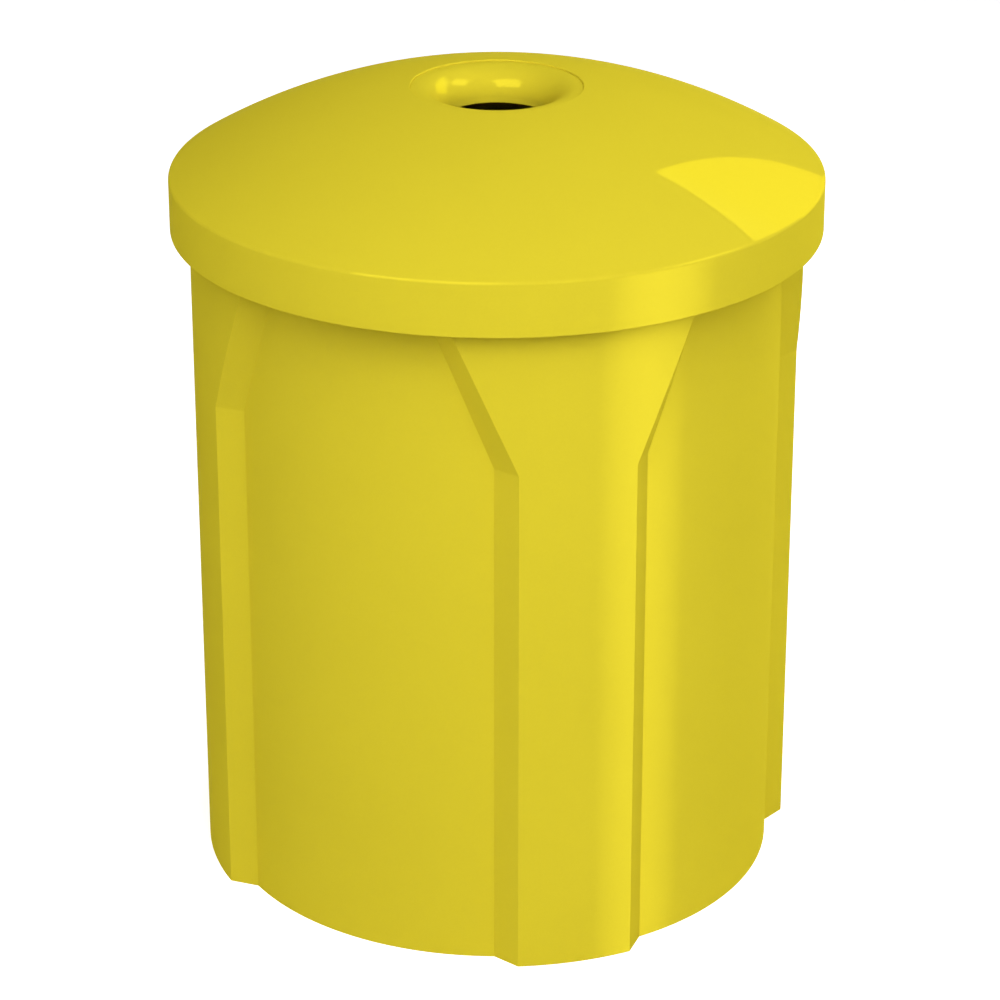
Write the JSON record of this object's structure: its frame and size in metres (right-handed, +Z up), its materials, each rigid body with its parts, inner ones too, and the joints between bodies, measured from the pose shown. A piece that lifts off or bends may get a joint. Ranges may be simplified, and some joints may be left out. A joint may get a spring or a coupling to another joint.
{
  "type": "litter and recycling receptacle",
  "caption": "Round ribbed plastic litter and recycling can with a loose domed lid, a funnel opening for bottles and drinks cans, and a lift-out inner liner with drop handles.",
  "frame": {"origin": "centre of the can's foot, on the ground", "axes": "+Z up along the can's axis; the four ribs are centred on +X, -X, +Y and -Y, with the lid's tether fittings at +Y and the liner's handles at +X and -X"},
  "size_m": [0.635, 0.635, 0.7994],
  "materials": {
    "can_plastic": "yellow polyethylene, semi-gloss",
    "lid_plastic": "yellow polyethylene, semi-gloss",
    "liner_plastic": "grey polyethylene, slightly textured",
    "zinc_steel": "bright zinc plate",
    "stainless_steel": "stainless steel",
    "grip_vinyl": "black vinyl sleeve"
  },
  "bodies": {
    "can": {"outer_can": "can_plastic", "anchor_washers": "zinc_steel", "can_tether_bolt": "stainless_steel", "can_tether_washer": "stainless_steel", "can_tether_eye_nut": "stainless_steel"},
    "liner": {"liner_bucket": "liner_plastic", "hinge_strap_right": "zinc_steel", "hinge_strap_left": "zinc_steel", "strap_rivets_right": "stainless_steel", "strap_rivets_left": "stainless_steel"},
    "handle_right": {"handle_rod_right": "zinc_steel", "handle_grip_right": "grip_vinyl"},
    "handle_left": {"handle_rod_left": "zinc_steel", "handle_grip_left": "grip_vinyl"},
    "lid": {"lid_shell": "lid_plastic", "funnel_insert": "lid_plastic", "funnel_screws": "stainless_steel", "lid_tether_bolt": "stainless_steel", "lid_tether_washer": "stainless_steel", "lid_tether_eye_nut": "stainless_steel"}
  },
  "joints": [
    {"name": "liner_lift", "type": "slide", "parent": "can", "child": "liner", "axis": [0, 0, 1], "range_m": [0, 0.72]},
    {"name": "lid_lift", "type": "slide", "parent": "liner", "child": "lid", "axis": [0, 0, 1], "range_m": [0, 0.35]},
    {"name": "right_handle_swing", "type": "hinge", "parent": "liner", "child": "handle_right", "pos_m": [0.23392, 0, 0.63692], "axis": [0, 1, 0], "range_deg": [0, 185]},
    {"name": "left_handle_swing", "type": "hinge", "parent": "liner", "child": "handle_left", "pos_m": [-0.23392, 0, 0.63692], "axis": [0, -1, 0], "range_deg": [0, 185]}
  ]
}
